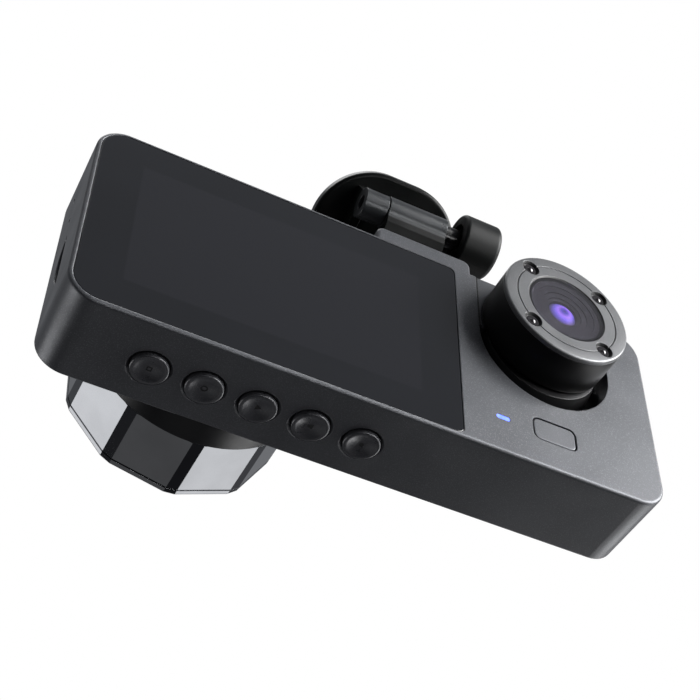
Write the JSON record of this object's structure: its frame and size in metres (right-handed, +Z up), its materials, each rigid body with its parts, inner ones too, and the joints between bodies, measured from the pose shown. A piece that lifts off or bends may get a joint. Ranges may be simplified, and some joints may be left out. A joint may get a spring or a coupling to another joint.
{
  "type": "dash camera",
  "caption": "Flat dash camera with a ten-sided road lens barrel, a tilting cabin camera, a rear screen, buttons and sockets, hanging from a hinged adhesive slide mount.",
  "frame": {"origin": "centre of the adhesive face of the windscreen mount", "axes": "+X runs along the length of the case towards the memory card side, -Y towards the road, +Y towards the driver, +Z up"},
  "size_m": [0.11, 0.0506, 0.0779],
  "materials": {
    "case_grey": "satin moulded plastic with a fine metallic paint",
    "frame_grey": "satin light grey paint",
    "screen_glass": "black backed glass",
    "display": "switched-off display panel",
    "board_green": "circuit board",
    "steel": "plain steel",
    "black_gloss": "polished black",
    "black_satin": "fine textured black",
    "bezel_satin": "satin charcoal",
    "lens_glass": "coated glass",
    "lamp_clear": "clear epoxy lamp",
    "light_blue": "blue status light",
    "foam": "adhesive foam"
  },
  "bodies": {
    "mount": {"mount_plate": "black_satin", "mount_pad": "foam"},
    "arm": {"mount_arm": "black_satin"},
    "clamp": {"mount_pin": "steel", "mount_knob": "black_satin"},
    "cabin_camera": {"cabin_cradle": "frame_grey", "cabin_pivot_pins": "steel", "cabin_barrel": "black_gloss", "cabin_face": "frame_grey", "cabin_window": "screen_glass", "cabin_ir_lamps": "lamp_clear", "cabin_lens_cell": "black_satin", "cabin_lens_glass": "lens_glass", "cabin_sensor_board": "board_green"},
    "power": {"power_button": "frame_grey"},
    "card": {"memory_card": "black_satin"},
    "menu_1": {"menu_button_1": "case_grey"},
    "menu_2": {"menu_button_2": "case_grey"},
    "menu_3": {"menu_button_3": "case_grey"},
    "menu_4": {"menu_button_4": "case_grey"},
    "menu_5": {"menu_button_5": "case_grey"},
    "case": {"front_shell": "case_grey", "rear_frame": "frame_grey", "screen_glass": "screen_glass", "lcd_panel": "display", "main_board": "board_green", "board_screws": "steel", "backup_cell": "black_satin", "speaker": "black_satin", "usb_socket": "steel", "av_jack": "black_satin", "card_socket": "steel", "microphone": "steel", "reset_switch": "black_satin", "button_board": "board_green", "power_switch": "board_green", "status_light": "light_blue", "lens_barrel": "black_gloss", "barrel_bezel": "bezel_satin", "bezel_plate": "bezel_satin", "window_ring": "bezel_satin", "lens_window": "screen_glass", "lens_cell": "black_satin", "lens_front_glass": "lens_glass", "lens_rear_glass": "lens_glass", "lock_ring": "black_satin", "front_sensor_board": "board_green"}
  },
  "joints": [
    {"name": "mount_tilt", "type": "hinge", "parent": "mount", "child": "arm", "pos_m": [0, 0.01675, -0.00222], "axis": [1, 0, 0], "range_deg": [-15, 30]},
    {"name": "clamp_turn", "type": "hinge", "parent": "mount", "child": "clamp", "pos_m": [0, 0.01675, -0.00222], "axis": [1, 0, 0], "range_deg": [-180, 180]},
    {"name": "case_slide", "type": "slide", "parent": "arm", "child": "case", "axis": [0, 1, 0], "range_m": [0, 0.0125]},
    {"name": "cabin_tilt", "type": "hinge", "parent": "case", "child": "cabin_camera", "pos_m": [-0.0245, 0.01976, -0.03662], "axis": [1, 0, 0], "range_deg": [-12, 12]},
    {"name": "power_press", "type": "slide", "parent": "case", "child": "power", "axis": [0, -1, 0], "range_m": [0, 0.0004], "stiffness_N_per_m": 2500, "springref_m": -0.0002},
    {"name": "card_slide", "type": "slide", "parent": "case", "child": "card", "axis": [1, 0, 0], "range_m": [-0.0008, 0.013]},
    {"name": "menu_1_press", "type": "slide", "parent": "case", "child": "menu_1", "axis": [0, 0, 1], "range_m": [0, 0.0004], "stiffness_N_per_m": 2500, "springref_m": -0.0002},
    {"name": "menu_2_press", "type": "slide", "parent": "case", "child": "menu_2", "axis": [0, 0, 1], "range_m": [0, 0.0004], "stiffness_N_per_m": 2500, "springref_m": -0.0002},
    {"name": "menu_3_press", "type": "slide", "parent": "case", "child": "menu_3", "axis": [0, 0, 1], "range_m": [0, 0.0004], "stiffness_N_per_m": 2500, "springref_m": -0.0002},
    {"name": "menu_4_press", "type": "slide", "parent": "case", "child": "menu_4", "axis": [0, 0, 1], "range_m": [0, 0.0004], "stiffness_N_per_m": 2500, "springref_m": -0.0002},
    {"name": "menu_5_press", "type": "slide", "parent": "case", "child": "menu_5", "axis": [0, 0, 1], "range_m": [0, 0.0004], "stiffness_N_per_m": 2500, "springref_m": -0.0002}
  ]
}
